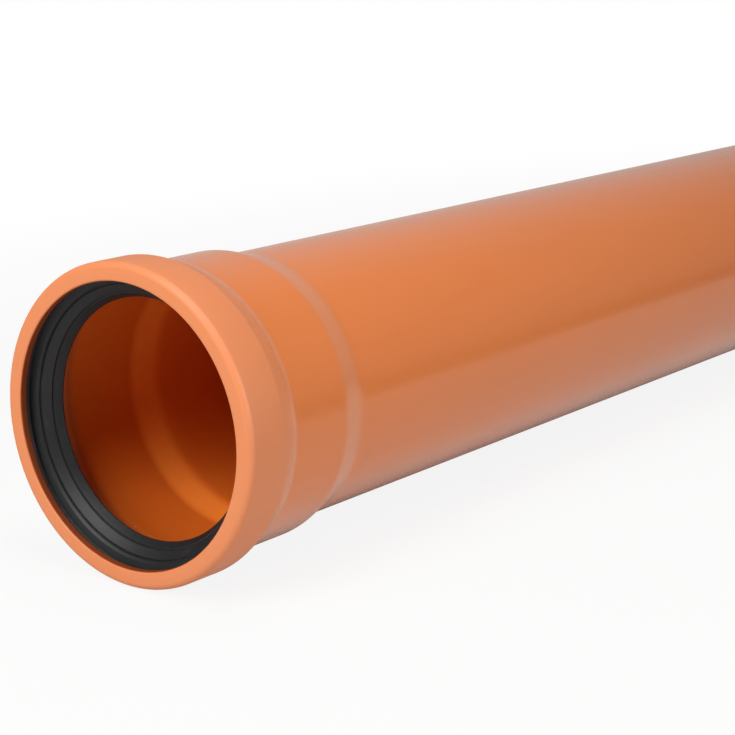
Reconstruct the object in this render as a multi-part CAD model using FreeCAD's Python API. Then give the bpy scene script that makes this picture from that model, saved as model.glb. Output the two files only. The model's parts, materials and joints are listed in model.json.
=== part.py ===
"""Socketed PVC-U sewer pipe, nominal outside diameter 160 mm, with its rubber ring seal.

Two pieces: the pipe, which is one extrusion whose end is belled into a ring-seal
socket, and the lip seal that sits in the groove of that socket.

Each piece is a section turned about the pipe's axis. A section is drawn on (x, r),
x along the axis from the plane of the socket's mouth towards the spigot end and r
out from the axis. The turned pieces are then laid down as the pipe lies on a level
floor, on the bottom of the bead and of the spigot end: x stays along the pipe, +Z
is up, and the origin is under the middle of the pipe, on the floor. Millimetres.
"""

import FreeCAD, Part
import math
import os

# ---- the barrel and its spigot end ----
pipe_outside_diameter = 160.0
pipe_wall = 4.7
effective_length = 1000.0       # what one pipe adds to a line, past the socket
spigot_chamfer_length = 7.0
spigot_chamfer_angle = 15.0     # degrees from the axis
cut_edge_radius = 0.3

# ---- the socket ----
socket_clearance = 0.45         # radial, round a spigot in the straight of the socket
socket_wall = 4.6
socket_straight_end = 88.5      # from the mouth to where the transition to the barrel starts
transition_length = 20.5
transition_start_radius = 14.0
transition_end_radius = 34.0

# ---- the bead, which holds the seal's groove ----
bead_wall = 4.45
bead_length = 27.5              # from the mouth to where the shoulder starts
bead_edge_radius = 4.0
shoulder_length = 16.5
shoulder_foot_radius = 12.0
groove_depth = 6.45             # out from the straight of the socket
groove_corner_radius = 0.8
mouth_lip_thickness = 5.0
mouth_clearance = 0.55          # radial, round a spigot in the mouth
mouth_inner_edge_radius = 1.4
mouth_back_edge_radius = 0.6    # of the lip's inner edge, towards the groove
mouth_outer_edge_radius = 4.0

# ---- the seal; setbacks run from the groove's front wall, reaches inwards from a spigot's skin ----
seal_clearance = 0.3            # to the groove's floor and its front wall
seal_end_gap = 1.2              # from the heel to the end of the groove's floor
seal_body_height = 3.1          # the heel, in from the groove's floor
seal_front_height = 2.2         # the flat front of the body, in from the groove's floor
nose_setback = 4.2
nose_reach = -3.4               # the nose stays outside a spigot's skin, in the lip's shadow
ridge_setback = 5.7
ridge_reach = 0.8
web_groove_setback = 7.5
web_groove_reach = 2.6
elbow_setback = 12.1
elbow_reach = 8.0
tip_setback = 17.2
tip_reach = 11.4
lip_thickness = 2.3
hollow_setback = 9.6            # the bottom of the hollow between the lip and the heel
hollow_height = 6.1             # in from the groove's floor
ring_groove_width = 1.3
ring_groove_depth = 0.9
ring_groove_edge_radius = 0.25
seal_edge_radius = 0.7

# ---- drawing ----
rounding_share = 0.45           # the most of its shorter run that a corner's arc may take

# ---- what follows from them ----
pipe_radius = pipe_outside_diameter / 2
bore_radius = pipe_radius - pipe_wall
socket_bore_radius = pipe_radius + socket_clearance
socket_radius = socket_bore_radius + socket_wall
groove_radius = socket_bore_radius + groove_depth
bead_radius = groove_radius + bead_wall
mouth_radius = pipe_radius + mouth_clearance
total_length = effective_length + socket_straight_end

shoulder_start = bead_length
shoulder_end = shoulder_start + shoulder_length
transition_start = socket_straight_end
transition_end = transition_start + transition_length


def inner_station(outer_station, wall, angle):
    """Where a wall's inner skin turns, when its outer skin turns by angle at outer_station."""
    return outer_station - wall * math.tan(angle / 2)


shoulder_angle = math.atan2(bead_radius - socket_radius, shoulder_length)
transition_angle = math.atan2(socket_radius - pipe_radius, transition_length)
groove_front = mouth_lip_thickness
groove_end = inner_station(shoulder_start, bead_wall, shoulder_angle)
socket_bore_start = groove_end + shoulder_length
socket_bore_end = inner_station(transition_start, socket_wall, transition_angle)
bore_start = socket_bore_end + transition_length
chamfer_start = total_length - spigot_chamfer_length
spigot_tip_radius = pipe_radius - spigot_chamfer_length * math.tan(math.radians(spigot_chamfer_angle))


def rounded_wire(corners):
    """A closed wire through (x, r, radius) corners, each rounded by a tangent arc.

    An arc takes at most rounding_share of the shorter of its two runs, so a rounding
    is limited by the wall that it is on.
    """
    points = [FreeCAD.Vector(x, 0, r) for x, r, _ in corners]
    arcs = []
    for i, (_, _, radius) in enumerate(corners):
        here = points[i]
        back = points[i - 1] - here
        ahead = points[(i + 1) % len(points)] - here
        run = min(back.Length, ahead.Length)
        back.normalize()
        ahead.normalize()
        half_inside = back.getAngle(ahead) / 2
        reach = min(radius / math.tan(half_inside), rounding_share * run)
        arc_radius = reach * math.tan(half_inside)
        to_middle = reach / math.cos(half_inside) - arc_radius
        bisector = (back + ahead).normalize()
        arcs.append((here + back * reach, here + bisector * to_middle, here + ahead * reach))
    edges = []
    for (start, middle, end), (next_start, _, _) in zip(arcs, arcs[1:] + arcs[:1]):
        edges.append(Part.Arc(start, middle, end).toShape())
        edges.append(Part.LineSegment(end, next_start).toShape())
    return Part.Wire(edges)


def turned(corners):
    """The solid that a section makes when it is turned about the pipe's axis."""
    face = Part.Face(rounded_wire(corners))
    solid = face.revolve(FreeCAD.Vector(0, 0, 0), FreeCAD.Vector(1, 0, 0), 360)
    return solid if solid.Volume > 0 else solid.reversed()


def pipe():
    """The barrel with its spigot end, transition, socket, shoulder, bead and mouth."""
    outside = [
        (0, bead_radius, mouth_outer_edge_radius),
        (shoulder_start, bead_radius, bead_edge_radius),
        (shoulder_end, socket_radius, shoulder_foot_radius),
        (transition_start, socket_radius, transition_start_radius),
        (transition_end, pipe_radius, transition_end_radius),
        (chamfer_start, pipe_radius, cut_edge_radius),
        (total_length, spigot_tip_radius, cut_edge_radius),
    ]
    inside = [
        (total_length, bore_radius, cut_edge_radius),
        (bore_start, bore_radius, transition_end_radius),
        (socket_bore_end, socket_bore_radius, transition_start_radius),
        (socket_bore_start, socket_bore_radius, shoulder_foot_radius),
        (groove_end, groove_radius, groove_corner_radius),
        (groove_front, groove_radius, groove_corner_radius),
        (groove_front, mouth_radius, mouth_back_edge_radius),
        (0, mouth_radius, mouth_inner_edge_radius),
    ]
    return turned(outside + inside)


def along(start, end, distance):
    """The point that lies the given distance from start, on the line to end."""
    share = distance / math.dist(start, end)
    return tuple(a + (b - a) * share for a, b in zip(start, end))


def soft(*points):
    """Corners of the seal that are rounded as moulded edges are."""
    return [(x, r, seal_edge_radius) for x, r in points]


def ring_groove(before, bottom, after):
    """The three corners of a small V-shaped groove, cut outwards into a skin at bottom."""
    half = ring_groove_width / 2
    skin = (after[0] - before[0], after[1] - before[1])
    depth = ring_groove_depth / math.hypot(*skin)
    root = (bottom[0] - skin[1] * depth, bottom[1] + skin[0] * depth)
    points = [along(bottom, before, half), root, along(bottom, after, half)]
    return [(x, r, ring_groove_edge_radius) for x, r in points]


def seal_ring():
    """The lip seal: a body in the groove, and a lip that slopes in and back from its front."""
    front = groove_front + seal_clearance
    heel = groove_end - seal_end_gap
    floor = groove_radius - seal_clearance
    nose = (groove_front + nose_setback, pipe_radius - nose_reach)
    ridge = (groove_front + ridge_setback, pipe_radius - ridge_reach)
    web = (groove_front + web_groove_setback, pipe_radius - web_groove_reach)
    elbow = (groove_front + elbow_setback, pipe_radius - elbow_reach)
    tip = (groove_front + tip_setback, pipe_radius - tip_reach)
    hollow = (groove_front + hollow_setback, groove_radius - hollow_height)

    # the lip's back follows its front at the lip's thickness
    lip_run = math.dist(elbow, tip)
    across = ((elbow[1] - tip[1]) / lip_run * lip_thickness, (tip[0] - elbow[0]) / lip_run * lip_thickness)
    tip_back = (tip[0] + across[0], tip[1] + across[1])
    elbow_back = (elbow[0] + 2 * across[0], elbow[1] + across[1])

    return turned([
        *soft((front, groove_radius - seal_front_height), nose, ridge),
        *ring_groove(ridge, web, elbow),
        *ring_groove(web, elbow, tip),
        *soft(tip, tip_back, elbow_back, hollow),
        *soft((heel, groove_radius - seal_body_height), (heel, floor), (front, floor)),
    ])


def as_it_lies(shape):
    """The shape laid on the floor, on the bottoms of the bead and of the spigot end."""
    dip = math.atan2(bead_radius - pipe_radius, chamfer_start - bead_length)
    height = bead_radius * math.cos(dip) + bead_length * math.sin(dip)
    middle = total_length / 2 * math.cos(dip)
    laid = shape.copy()
    laid.rotate(FreeCAD.Vector(0, 0, 0), FreeCAD.Vector(0, 1, 0), math.degrees(dip))
    laid.translate(FreeCAD.Vector(-middle, 0, height))
    return laid


os.makedirs("parts", exist_ok=True)
for name, shape in (("pipe", pipe()), ("seal_ring", seal_ring())):
    laid = as_it_lies(shape)
    box = laid.BoundBox
    print(name, laid.isValid(), laid.ShapeType, round(laid.Volume), box)
    laid.exportStep(f"parts/{name}.step")
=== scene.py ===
"""The looks of a socketed PVC-U sewer pipe and its rubber ring seal, on a pale studio floor.

Both pieces are round about the pipe's own axis. Each is modelled in that axis's
coordinates, x from the plane of the mouth towards the spigot end, and is then laid
where the frame has it. Metres, with the small sizes written as a number times MM.
"""

import json
import math

import bmesh
import bpy
from mathutils import Matrix, Vector


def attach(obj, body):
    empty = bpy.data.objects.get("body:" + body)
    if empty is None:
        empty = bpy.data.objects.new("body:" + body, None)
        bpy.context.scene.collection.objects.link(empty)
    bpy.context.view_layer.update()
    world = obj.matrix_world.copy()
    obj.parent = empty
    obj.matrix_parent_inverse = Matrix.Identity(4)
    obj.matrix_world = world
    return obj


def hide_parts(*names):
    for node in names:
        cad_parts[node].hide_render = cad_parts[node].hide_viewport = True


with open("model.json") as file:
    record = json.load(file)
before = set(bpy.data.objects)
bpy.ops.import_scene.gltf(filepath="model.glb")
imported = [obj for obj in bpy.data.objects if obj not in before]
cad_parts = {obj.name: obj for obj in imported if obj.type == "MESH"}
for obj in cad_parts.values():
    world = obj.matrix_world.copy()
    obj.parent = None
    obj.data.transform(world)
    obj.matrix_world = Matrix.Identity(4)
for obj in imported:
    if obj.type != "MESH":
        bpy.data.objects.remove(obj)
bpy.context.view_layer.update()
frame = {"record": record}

MM = 0.001

# ---- the pipe's axis and its round sizes, from the mounts ----
mounts = {mount["name"]: mount for mount in frame["record"]["mounts"]}


def mount_point(name):
    return Vector(mounts[name]["pos_m"])


def mount_radius(name):
    return mounts[name]["dims"]["r_mm"] * MM


along = Vector(mounts["spigot"]["axis"]).normalized()
on_axis = mount_point("socket_mouth")
mouth_centre = on_axis + along * (mount_point("mouth_face") - on_axis).dot(along)
total_length = (mount_point("spigot_face") - mouth_centre).dot(along)
as_it_lies = Matrix.Translation(mouth_centre) @ along.to_track_quat("X", "Z").to_matrix().to_4x4()

pipe_radius = mount_radius("spigot")
bore_radius = mount_radius("barrel_bore")
mouth_radius = mount_radius("socket_mouth")
socket_bore_radius = mount_radius("socket")

# ---- the socket's and the spigot end's other sizes ----
socket_wall = 4.6 * MM
groove_depth = 6.45 * MM
bead_wall = 4.45 * MM
bead_length = 27.5 * MM
shoulder_length = 16.5 * MM
socket_straight_end = 88.5 * MM
transition_length = 20.5 * MM
mouth_lip_thickness = 5.0 * MM
spigot_chamfer_length = 7.0 * MM
spigot_chamfer_angle = math.radians(15)

mouth_outer_edge_radius = 4.0 * MM
mouth_inner_edge_radius = 1.4 * MM
mouth_back_edge_radius = 0.6 * MM
bead_edge_radius = 4.0 * MM
shoulder_foot_radius = 12.0 * MM
transition_start_radius = 14.0 * MM
transition_end_radius = 34.0 * MM
groove_corner_radius = 0.8 * MM
cut_edge_radius = 0.3 * MM

socket_radius = socket_bore_radius + socket_wall
groove_radius = socket_bore_radius + groove_depth
bead_radius = groove_radius + bead_wall
shoulder_end = bead_length + shoulder_length
transition_end = socket_straight_end + transition_length
chamfer_start = total_length - spigot_chamfer_length
spigot_tip_radius = pipe_radius - spigot_chamfer_length * math.tan(spigot_chamfer_angle)
shoulder_angle = math.atan2(bead_radius - socket_radius, shoulder_length)
transition_angle = math.atan2(socket_radius - pipe_radius, transition_length)
groove_end = bead_length - bead_wall * math.tan(shoulder_angle / 2)
socket_bore_end = socket_straight_end - socket_wall * math.tan(transition_angle / 2)

# ---- the seal's section ----
seal_clearance = 0.3 * MM
seal_end_gap = 1.2 * MM
seal_body_height = 3.1 * MM
seal_front_height = 2.2 * MM
seal_edge_radius = 0.7 * MM
lip_thickness = 2.3 * MM
ring_groove_width = 1.3 * MM
ring_groove_depth = 0.9 * MM
ring_groove_edge_radius = 0.25 * MM

# each corner's setback from the groove's front wall, and its reach inwards from a spigot's skin
nose_place = (4.2 * MM, -3.4 * MM)
ridge_place = (5.7 * MM, 0.8 * MM)
web_groove_place = (7.5 * MM, 2.6 * MM)
elbow_place = (12.1 * MM, 8.0 * MM)
tip_place = (17.2 * MM, 11.4 * MM)
hollow_setback = 9.6 * MM
hollow_height = 6.1 * MM                # in from the groove's floor

# ---- how fine the meshes are ----
PIPE_SIDES = 288
SEAL_SIDES = 256
FACET_ANGLE = math.radians(9)           # what each facet of a rounding turns by
ROUNDING_SHARE = 0.45                   # the most of its shorter run that a rounding takes
SMOOTH_ANGLE = math.radians(32)         # an edge that turns by more looks sharp
ONE_POINT = 0.002 * MM                  # points nearer than this are joined
AT_CORNER = 0.02 * MM                   # how near its corner a ring's edges lie


# ---- modelling ----
def deselect_all():
    if bpy.context.object and bpy.context.object.mode != "OBJECT":
        bpy.ops.object.mode_set(mode="OBJECT")
    bpy.ops.object.select_all(action="DESELECT")


def pick_edges(wanted):
    """Select, in edit mode, exactly the edges that wanted(edge) accepts; how many there are."""
    bpy.ops.mesh.select_all(action="DESELECT")
    mesh = bpy.context.edit_object.data
    edit = bmesh.from_edit_mesh(mesh)
    count = 0
    for edge in edit.edges:
        if wanted(edge):
            edge.select_set(True)
            count += 1
    bmesh.update_edit_mesh(mesh)
    return count


def axis_distance(point):
    return math.hypot(point.y, point.z)


def turned_skin(name, section, sides):
    """A closed skin round the X axis through (x, r, radius) corners, each edge rounded by its radius.

    A ring is drawn at the first corner, extruded and resized from corner to corner, and
    joined up to the start. Then each corner's ring of edges is bevelled.
    """
    deselect_all()
    first_x, first_r, _ = section[0]
    bpy.ops.mesh.primitive_circle_add(
        vertices=sides, radius=first_r, location=(first_x, 0, 0), rotation=(0, math.pi / 2, 0))
    piece = bpy.context.object
    piece.name = name
    bpy.ops.object.transform_apply(location=True, rotation=True, scale=True)
    bpy.ops.object.mode_set(mode="EDIT")
    bpy.ops.mesh.select_all(action="SELECT")
    x, r = first_x, first_r
    for next_x, next_r, _ in section[1:] + section[:1]:
        bpy.ops.mesh.extrude_edges_move(TRANSFORM_OT_translate={"value": (next_x - x, 0, 0)})
        grow = next_r / r
        bpy.ops.transform.resize(value=(1, grow, grow), center_override=(next_x, 0, 0))
        x, r = next_x, next_r
    bpy.ops.mesh.select_all(action="SELECT")
    bpy.ops.mesh.remove_doubles(threshold=ONE_POINT)
    bpy.ops.mesh.normals_make_consistent(inside=False)
    round_corners(section)
    bpy.ops.object.mode_set(mode="OBJECT")
    return piece


def round_corners(section):
    """Bevel the ring of edges at each corner, as far as a tangent arc of its radius reaches."""
    for i, (x, r, radius) in enumerate(section):
        if not radius:
            continue
        here = Vector((x, r))
        back = Vector(section[i - 1][:2]) - here
        ahead = Vector(section[(i + 1) % len(section)][:2]) - here
        half_inside = back.angle(ahead) / 2
        run = min(back.length, ahead.length)
        reach = min(radius / math.tan(half_inside), ROUNDING_SHARE * run)
        turn = math.pi - 2 * half_inside
        facets = max(2, round(turn / FACET_ANGLE))

        def at_corner(edge):
            return all(
                abs(end.co.x - x) < AT_CORNER and abs(axis_distance(end.co) - r) < AT_CORNER
                for end in edge.verts)

        if pick_edges(at_corner):
            bpy.ops.mesh.bevel(
                offset=reach, offset_type="OFFSET", segments=facets, profile=0.5, affect="EDGES")


def lay_down(piece):
    """Lay a finished piece where the frame has it, with its place in its mesh."""
    deselect_all()
    piece.select_set(True)
    bpy.context.view_layer.objects.active = piece
    piece.matrix_world = as_it_lies
    bpy.ops.object.transform_apply(location=True, rotation=True, scale=True)
    bpy.ops.object.shade_smooth_by_angle(angle=SMOOTH_ANGLE)
    return piece


def pipe_section():
    bore_start = socket_bore_end + transition_length
    return [
        (0, mouth_radius, mouth_inner_edge_radius),
        (0, bead_radius, mouth_outer_edge_radius),
        (bead_length, bead_radius, bead_edge_radius),
        (shoulder_end, socket_radius, shoulder_foot_radius),
        (socket_straight_end, socket_radius, transition_start_radius),
        (transition_end, pipe_radius, transition_end_radius),
        (chamfer_start, pipe_radius, cut_edge_radius),
        (total_length, spigot_tip_radius, cut_edge_radius),
        (total_length, bore_radius, cut_edge_radius),
        (bore_start, bore_radius, transition_end_radius),
        (socket_bore_end, socket_bore_radius, transition_start_radius),
        (groove_end + shoulder_length, socket_bore_radius, shoulder_foot_radius),
        (groove_end, groove_radius, groove_corner_radius),
        (mouth_lip_thickness, groove_radius, groove_corner_radius),
        (mouth_lip_thickness, mouth_radius, mouth_back_edge_radius),
    ]


def seal_section():
    """The lip seal's outline, from the groove's front round the lip and back along its floor."""
    def place(setback, reach):
        return Vector((mouth_lip_thickness + setback, pipe_radius - reach))

    nose = place(*nose_place)
    ridge = place(*ridge_place)
    web = place(*web_groove_place)
    elbow = place(*elbow_place)
    tip = place(*tip_place)
    hollow = Vector((mouth_lip_thickness + hollow_setback, groove_radius - hollow_height))
    front = mouth_lip_thickness + seal_clearance
    heel = groove_end - seal_end_gap
    floor = groove_radius - seal_clearance
    run = (tip - elbow).normalized()
    across = Vector((-run.y, run.x)) * lip_thickness

    def ring_groove(before, bottom, after):
        """A small V-shaped groove in the skin, as three corners."""
        skin = (after - before).normalized()
        root = bottom + Vector((-skin.y, skin.x)) * ring_groove_depth
        half = ring_groove_width / 2
        return [
            (*(bottom + (before - bottom).normalized() * half), ring_groove_edge_radius),
            (*root, ring_groove_edge_radius),
            (*(bottom + (after - bottom).normalized() * half), ring_groove_edge_radius),
        ]

    def soft(point):
        return (point.x, point.y, seal_edge_radius)

    return [
        (front, groove_radius - seal_front_height, seal_edge_radius),
        soft(nose),
        soft(ridge),
        *ring_groove(ridge, web, elbow),
        *ring_groove(web, elbow, tip),
        soft(tip),
        soft(tip + across),
        soft(elbow + across + Vector((across.x, 0))),
        soft(hollow),
        (heel, groove_radius - seal_body_height, seal_edge_radius),
        (heel, floor, seal_edge_radius),
        (front, floor, seal_edge_radius),
    ]


# ---- shader maths ----
class Wire:
    """A value in a material: a node's output that Python's operators work on."""

    def __init__(self, shader, socket):
        self.shader = shader
        self.socket = socket

    def _math(self, operation, *values):
        return self.shader.add("ShaderNodeMath", {"operation": operation}, *values)

    def __add__(self, other):
        return self._math("ADD", self, other)

    def __radd__(self, other):
        return self._math("ADD", other, self)

    def __sub__(self, other):
        return self._math("SUBTRACT", self, other)

    def __rsub__(self, other):
        return self._math("SUBTRACT", other, self)

    def __mul__(self, other):
        return self._math("MULTIPLY", self, other)

    def __rmul__(self, other):
        return self._math("MULTIPLY", other, self)


class Shader:
    """The nodes of a material or of the world."""

    def __init__(self, owner):
        owner.use_nodes = True
        self.owner = owner
        self.tree = owner.node_tree
        self.tree.nodes.clear()

    def feed(self, socket, value):
        """Link another node's output to a socket, or set the socket to a plain value."""
        if isinstance(value, Wire):
            self.tree.links.new(value.socket, socket)
        else:
            socket.default_value = value

    def add(self, kind, settings=None, *values, output=0, **named):
        """One output of a new node, whose sockets are fed in order or by name, with _ for a space."""
        node = self.tree.nodes.new(kind)
        for key, value in (settings or {}).items():
            setattr(node, key, value)
        for index, value in enumerate(values):
            self.feed(node.inputs[index], value)
        for name, value in named.items():
            self.feed(node.inputs[name.replace("_", " ")], value)
        return Wire(self, node.outputs[output])

    def mix(self, share, one, other):
        """The colour that lies the given share of the way from one colour to the other."""
        node = self.tree.nodes.new("ShaderNodeMix")
        node.data_type = "RGBA"
        for index, value in ((0, share), (6, one), (7, other)):     # its sockets for colours
            self.feed(node.inputs[index], value)
        return Wire(self, node.outputs[2])

    def band(self, value, low, high):
        """0 below low, 1 above high and smooth between."""
        return self.add(
            "ShaderNodeMapRange", {"interpolation_type": "SMOOTHSTEP"}, value, low, high, 0.0, 1.0)

    def noise(self, where, scale, detail, roughness):
        return self.add(
            "ShaderNodeTexNoise", None, Vector=where, Scale=scale, Detail=detail, Roughness=roughness)

    def stretched(self, where, scale):
        """Places with each of their coordinates multiplied by its own number."""
        return self.add("ShaderNodeVectorMath", {"operation": "MULTIPLY"}, where, scale)

    def rays(self, *kinds):
        """A mask for each kind of ray named, 1 for a ray of that kind."""
        return [self.add("ShaderNodeLightPath", output=f"Is {kind} Ray") for kind in kinds]

    def finish(self, shaded, output="ShaderNodeOutputMaterial"):
        out = self.tree.nodes.new(output)
        self.tree.links.new(shaded.socket, out.inputs["Surface"])
        return self.owner


def srgb(red, green, blue):
    """A colour as it is read off a screen, 0 to 255, as the linear colour that a shader takes."""
    def linear(value):
        share = value / 255
        return share / 12.92 if share <= 0.04045 else ((share + 0.055) / 1.055) ** 2.4
    return (linear(red), linear(green), linear(blue), 1.0)


# ---- the colours of the finishes ----
BARREL_ORANGE = srgb(211, 120, 64)
# painted light: a deeper, more saturated orange for the light that bounces inside the pipe
BORE_PAINTED_LIGHT = srgb(220, 108, 30)
BEAD_ORANGE = srgb(210, 127, 80)
MILKY_AND_REFLECTION_ORANGE = srgb(208, 150, 118)      # partly whitened stretched skin, partly a painted reflection
CONE_PAINTED_LIGHT = srgb(248, 138, 50)        # inside the transition
LAND_PAINTED_SHADE = srgb(80, 26, 8)            # painted shade between the lip's edge and the seal
CUT_ORANGE = srgb(216, 142, 96)         # painted light: inside the transition, lighter where light falls on it
CLOUD_ORANGE = srgb(188, 92, 42)
LINE_ORANGE = srgb(176, 84, 38)         # along the barrel
RING_ORANGE = srgb(186, 100, 58)        # round the bead and the cut end
SPECK_ORANGE = srgb(250, 205, 170)
RUBBER_BLACK = srgb(20, 21, 22)
RUBBER_BLOOM = srgb(32, 33, 35)
RUBBER_SMEAR = srgb(70, 71, 74)

BORE_SKIN = 2 * MM      # how far into the wall the bore's painted light colour reaches


def pipe_coordinates(shader):
    """Places in the pipe's own coordinates, x from the mouth, and the distance from the axis."""
    to_pipe = as_it_lies.inverted()
    places = shader.add("ShaderNodeTexCoord", None, output="Object")
    own = shader.add(
        "ShaderNodeMapping", {"vector_type": "POINT"}, Vector=places,
        Location=to_pipe.to_translation(), Rotation=to_pipe.to_euler())
    x, y, z = (shader.add("ShaderNodeSeparateXYZ", None, own, output=name) for name in "XYZ")
    distance = shader.add("ShaderNodeMath", {"operation": "SQRT"}, y * y + z * z)
    return own, x, distance


def pvc_finish():
    """Terracotta-orange PVC-U.

    The barrel is a glossy extrusion with faint lines along it. The bead was formed hot
    on a mandrel and is duller and paler, with marks round it. The shoulder's foot and the
    transition are paler and milky, partly the whitening of stretched skin and partly a
    painted reflection. The bore is a deeper orange, painted light for the glow bounced
    inside the pipe; the inside of the transition is painted lighter where light falls on
    it, and the land between the lip's edge and the seal is painted dark as shade. The
    machined spigot end is matt, with the marks of its cutter.
    """
    shader = Shader(bpy.data.materials.new("orange_pvc"))
    own, x, distance = pipe_coordinates(shader)

    bead = 1 - shader.band(x, bead_length, shoulder_end)
    formed = 1 - shader.band(x, socket_straight_end, transition_end)
    in_wall = bore_radius + BORE_SKIN + formed * (socket_bore_radius - bore_radius)
    behind_mouth = shader.band(x, 0.1 * MM, 0.8 * MM)
    inside = (1 - shader.band(distance - in_wall, -0.4 * MM, 0.4 * MM)) * behind_mouth
    transition = shader.band(x, socket_straight_end - 3 * MM, socket_straight_end + 5 * MM)
    transition = transition * (1 - shader.band(x, transition_end - 8 * MM, transition_end + 2 * MM))
    foot = shader.band(x, shoulder_end - 5 * MM, shoulder_end - 1 * MM)
    foot = foot * (1 - shader.band(x, shoulder_end - 1 * MM, shoulder_end + 2 * MM))
    # paler bands at the shoulder's foot and the transition: painted reflection, partly whitened stretched
    # skin
    milky_and_reflection = (transition * 0.30 + foot * 0.40) * (1 - inside)
    # the lip's land behind its edge, where the shade is painted dark
    painted_land_shade = shader.band(x, 0.1 * MM, 1.0 * MM) * inside * bead
    # where the inside of the transition is painted lighter, as painted light
    painted_cone_light = transition * inside
    cut = shader.band(x, chamfer_start - 0.2 * MM, chamfer_start + 0.2 * MM) * (1 - inside)

    cloud = shader.noise(shader.stretched(own, (5.0, 24.0, 24.0)), 1.0, 3.0, 0.55)
    draw_lines = shader.noise(shader.stretched(own, (3.0, 900.0, 900.0)), 1.0, 3.0, 0.6)
    fine = shader.noise(own, 2600.0, 2.0, 0.6)
    uneven = shader.noise(own, 110.0, 2.0, 0.5)
    rings = shader.noise(shader.add("ShaderNodeCombineXYZ", None, x, distance, 0.0), 1500.0, 3.0, 0.6)
    cells = shader.add("ShaderNodeTexVoronoi", None, Vector=own, Scale=35.0, output="Distance")
    specks = 1 - shader.band(cells, 0.008, 0.014)

    # the bore's painted light: deeper orange for the light bounced inside the pipe
    colour = shader.mix(inside, BARREL_ORANGE, BORE_PAINTED_LIGHT)
    colour = shader.mix(bead * (1 - inside), colour, BEAD_ORANGE)
    # painted reflection, partly whitened stretched skin
    colour = shader.mix(milky_and_reflection, colour, MILKY_AND_REFLECTION_ORANGE)
    # painted light on the inside of the transition
    colour = shader.mix(painted_cone_light * 0.85, colour, CONE_PAINTED_LIGHT)
    # painted shade on the lip's land
    colour = shader.mix(painted_land_shade * 0.85, colour, LAND_PAINTED_SHADE)
    colour = shader.mix(cut, colour, CUT_ORANGE)
    colour = shader.mix(cloud * 0.14, colour, CLOUD_ORANGE)
    colour = shader.mix(draw_lines * (1 - bead) * 0.07, colour, LINE_ORANGE)
    colour = shader.mix(rings * (bead + cut) * 0.10, colour, RING_ORANGE)
    colour = shader.mix(specks * 0.7, colour, SPECK_ORANGE)

    roughness = 0.13 + cloud * 0.06 + draw_lines * 0.03 + bead * 0.33 + milky_and_reflection * 0.10 + cut * 0.30
    roughness = roughness + inside * (0.22 - bead * 0.23)
    height = draw_lines * (1 - bead) * 0.6 + fine * 0.4
    height = height + rings * (bead * 0.9 + cut * 2.5) + uneven * bead * 7.0
    bump = shader.add("ShaderNodeBump", None, Strength=0.14, Distance=0.05 * MM, Height=height)
    shaded = shader.add(
        "ShaderNodeBsdfPrincipled", None, Base_Color=colour, Roughness=roughness, IOR=1.54, Normal=bump)
    return shader.finish(shaded)


def rubber_finish():
    """Black moulded rubber with a dull sheen, fine grain, faint mould rings and a grey bloom in places."""
    shader = Shader(bpy.data.materials.new("black_rubber"))
    own, x, distance = pipe_coordinates(shader)
    bloom = shader.noise(own, 38.0, 3.0, 0.6)
    patches = shader.noise(shader.stretched(own, (90.0, 30.0, 30.0)), 1.0, 2.0, 0.5)
    smears = shader.band(patches, 0.60, 0.72)
    grain = shader.noise(own, 1700.0, 2.0, 0.6)
    rings = shader.noise(shader.add("ShaderNodeCombineXYZ", None, x, distance, 0.0), 900.0, 3.0, 0.6)
    colour = shader.mix(bloom, RUBBER_BLACK, RUBBER_BLOOM)
    colour = shader.mix(smears * 0.35, colour, RUBBER_SMEAR)
    roughness = 0.40 + bloom * 0.14 + smears * 0.12 + rings * 0.06
    bump = shader.add(
        "ShaderNodeBump", None, Strength=0.22, Distance=0.06 * MM, Height=grain * 0.7 + rings * 0.9)
    shaded = shader.add(
        "ShaderNodeBsdfPrincipled", None, Base_Color=colour, Roughness=roughness, IOR=1.50, Normal=bump)
    return shader.finish(shaded)


# ---- the studio ----
WHITE = (1.0, 1.0, 1.0, 1.0)
PALE_FLOOR = srgb(206, 205, 203)
MIRRORED_TABLE = (0.60, 0.59, 0.57, 1.0)
MIRRORED_ROOM = (0.11, 0.11, 0.11, 1.0)
FLOOR_SIZE = 60
TABLE_EDGE = 0.42        # from the pipe's middle, towards the camera
LIFT_BY_PIPE = 0.88      # how far the floor is lifted to white by the pipe
ROOM_LEVEL = 0.02        # of the light from every side
MIRRORED_WHITE = 0.10    # how much of the white background the pipe mirrors

# soft light from one side: the way to its middle, the cosine where it starts, and its level
LOW_BACKDROP = (Vector((0.72, 0.69, 0.05)), 0.45, 0.42)      # the grey backdrop behind the pipe
SIDE_SCREEN = (Vector((0.50, -0.85, 0.15)), 0.20, 0.15)      # the reflecting screen at its side

CAMERA_FROM_MOUTH = Vector((-0.7350, -0.7280, 0.2971))
CAMERA_AZIMUTH = math.radians(-52.63)
CAMERA_ELEVATION = math.radians(14.38)
SENSOR_WIDTH = 36        # millimetres, as the lens is
LENS = 96.5


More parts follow.
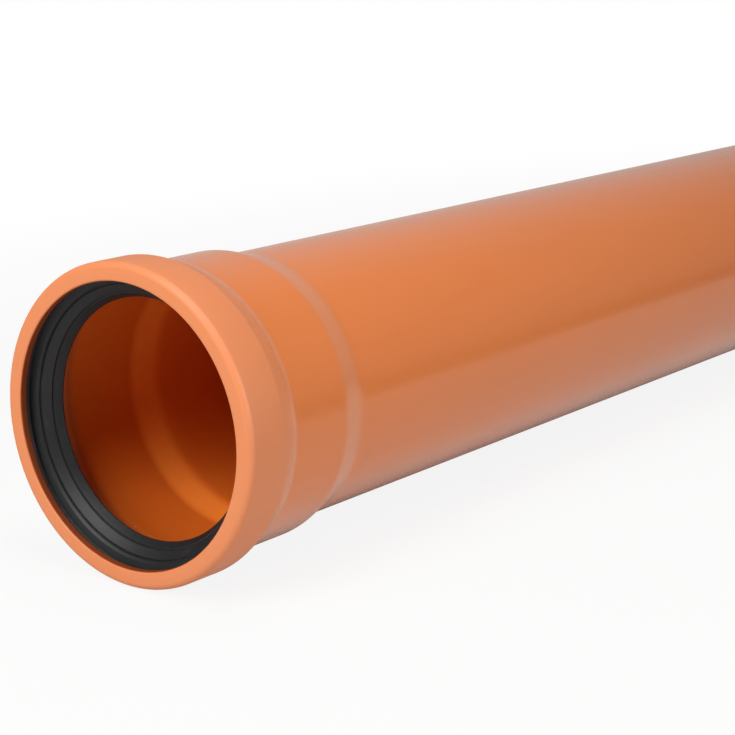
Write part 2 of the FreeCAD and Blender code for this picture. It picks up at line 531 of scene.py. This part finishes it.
def floor_finish():
    """Pale table top, which the camera sees lifted to white, less so by the pipe, with its shadow.

    Mirror rays see its shadow near the pipe, plain grey further out, and the dark room
    past its edge, which ends the pale reflection on the pipe's lower half.
    """
    shader = Shader(bpy.data.materials.new("pale_floor"))
    camera, glossy, through = shader.rays("Camera", "Glossy", "Transmission")
    places = shader.add("ShaderNodeTexCoord", None, output="Object")
    centred = shader.add(
        "ShaderNodeMapping", {"vector_type": "POINT"}, Vector=places, Scale=(0.55, 1.0, 1.0))
    away = shader.add("ShaderNodeVectorMath", {"operation": "LENGTH"}, centred, output="Value")
    y = shader.add("ShaderNodeSeparateXYZ", None, places, output="Y")
    past_edge = shader.band(0 - y, TABLE_EDGE, TABLE_EDGE + 0.03)
    aside = shader.add("ShaderNodeMath", {"operation": "ABSOLUTE"}, y)
    lifted = LIFT_BY_PIPE + shader.band(away, 0.35, 1.0) * (1 - LIFT_BY_PIPE)
    share = (camera + through) * lifted + glossy * shader.band(aside, 0.005, 0.06)
    mirrored = shader.mix(past_edge, MIRRORED_TABLE, MIRRORED_ROOM)
    glow = shader.mix(glossy, WHITE, mirrored)
    matt = shader.add("ShaderNodeBsdfDiffuse", None, Color=PALE_FLOOR)
    white = shader.add("ShaderNodeEmission", None, Color=glow, Strength=1.0)
    shaded = shader.add("ShaderNodeMixShader", None, share, matt, white)
    return shader.finish(shaded)


def studio_floor():
    deselect_all()
    bpy.ops.mesh.primitive_plane_add(size=FLOOR_SIZE, location=(0, 0, 0))
    floor = bpy.context.object
    floor.name = "studio_floor"
    floor.data.materials.append(floor_finish())


def studio_air():
    """White for the camera. What lights the pipe is brighter behind and beside it than in front."""
    world = bpy.data.worlds.new("studio")
    bpy.context.scene.world = world
    shader = Shader(world)
    camera, glossy, through = shader.rays("Camera", "Glossy", "Transmission")
    way = shader.add("ShaderNodeTexCoord", None, output="Generated")
    strength = ROOM_LEVEL
    for toward, start, level in (LOW_BACKDROP, SIDE_SCREEN):
        facing = shader.add(
            "ShaderNodeVectorMath", {"operation": "DOT_PRODUCT"}, way, tuple(toward.normalized()),
            output="Value")
        strength = shader.band(facing, start, 1.0) * level + strength
    white = camera + through + glossy * MIRRORED_WHITE
    glow = shader.add(
        "ShaderNodeBackground", None, Color=WHITE, Strength=strength * (1 - white) + white)
    shader.finish(glow, "ShaderNodeOutputWorld")


def softbox(name, place, target, width, height, power, mirrored=True):
    """A soft rectangular lamp. The camera doesn't see it, and mirrored says whether the pipe shows it."""
    lamp = bpy.data.lights.new(name, "AREA")
    lamp.shape = "RECTANGLE"
    lamp.size = width
    lamp.size_y = height
    lamp.energy = power
    holder = bpy.data.objects.new(name, lamp)
    bpy.context.scene.collection.objects.link(holder)
    holder.location = place
    holder.rotation_euler = (Vector(target) - Vector(place)).to_track_quat("-Z", "Y").to_euler()
    holder.visible_camera = False
    holder.visible_glossy = mirrored


def studio_lights():
    """Three lamps aimed at the mouth, and one at the barrel just behind the socket."""
    front = mouth_centre + Vector((-1.94, 0.25, 0.75))
    high_front = mouth_centre + Vector((-1.38, 0.15, 1.42))
    overhead = mouth_centre + Vector((0.05, -0.30, 1.40))
    barrel = mouth_centre + along * 0.12
    side = barrel + Vector((0.0, -1.6, 0.5))
    softbox("front_softbox", front, mouth_centre, 0.8, 0.8, power=27, mirrored=False)
    softbox("high_front_softbox", high_front, mouth_centre, 0.8, 0.8, power=23)
    softbox("overhead_softbox", overhead, mouth_centre, 0.8, 0.8, power=11)
    softbox("side_softbox", side, barrel, 1.0, 0.8, power=13)


def camera():
    """Level with the world, looking along the pipe from in front of its mouth."""
    level = math.cos(CAMERA_ELEVATION)
    back = Vector((
        math.sin(CAMERA_AZIMUTH) * level, -math.cos(CAMERA_AZIMUTH) * level, math.sin(CAMERA_ELEVATION)))
    view = bpy.data.cameras.new("camera")
    view.sensor_width = SENSOR_WIDTH
    view.lens = LENS
    view.clip_start = 0.05
    view.clip_end = 200
    holder = bpy.data.objects.new("camera", view)
    bpy.context.scene.collection.objects.link(holder)
    holder.location = mouth_centre + CAMERA_FROM_MOUTH
    holder.rotation_euler = (-back).to_track_quat("-Z", "Y").to_euler()
    bpy.context.scene.camera = holder


# ---- the object ----
pipe = lay_down(turned_skin("pvc_pipe", pipe_section(), PIPE_SIDES))
pipe.data.materials.append(pvc_finish())
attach(pipe, "root")
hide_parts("pipe")

seal = lay_down(turned_skin("rubber_seal", seal_section(), SEAL_SIDES))
seal.data.materials.append(rubber_finish())
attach(seal, "root")
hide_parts("seal_ring")

studio_floor()
studio_air()
studio_lights()
camera()
bpy.context.scene.view_settings.view_transform = "Standard"
